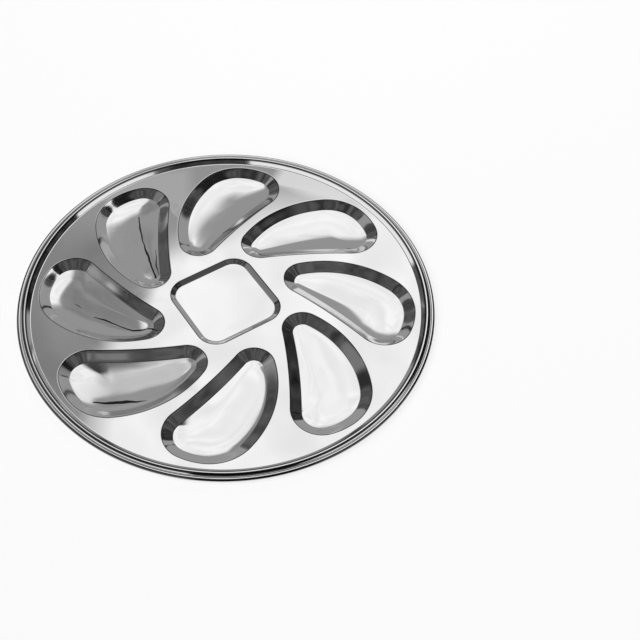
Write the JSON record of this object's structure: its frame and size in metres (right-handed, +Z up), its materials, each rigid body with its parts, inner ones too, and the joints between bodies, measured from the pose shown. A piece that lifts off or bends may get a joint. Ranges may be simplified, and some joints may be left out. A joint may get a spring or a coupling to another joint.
{
  "type": "oyster plate",
  "caption": "Round plate pressed from one steel sheet: leaf-shaped wells in a pinwheel round a shallow rounded square, raised rim with a rolled edge.",
  "frame": {"origin": "on the plate's axis, in the plane that the wells rest on", "axes": "+Z up, out of the open side of the wells; +Y towards the broad part of the first well"},
  "size_m": [0.25, 0.25, 0.0083],
  "materials": {
    "steel": "polished"
  },
  "bodies": {
    "root": {"plate": "steel"}
  },
  "joints": []
}
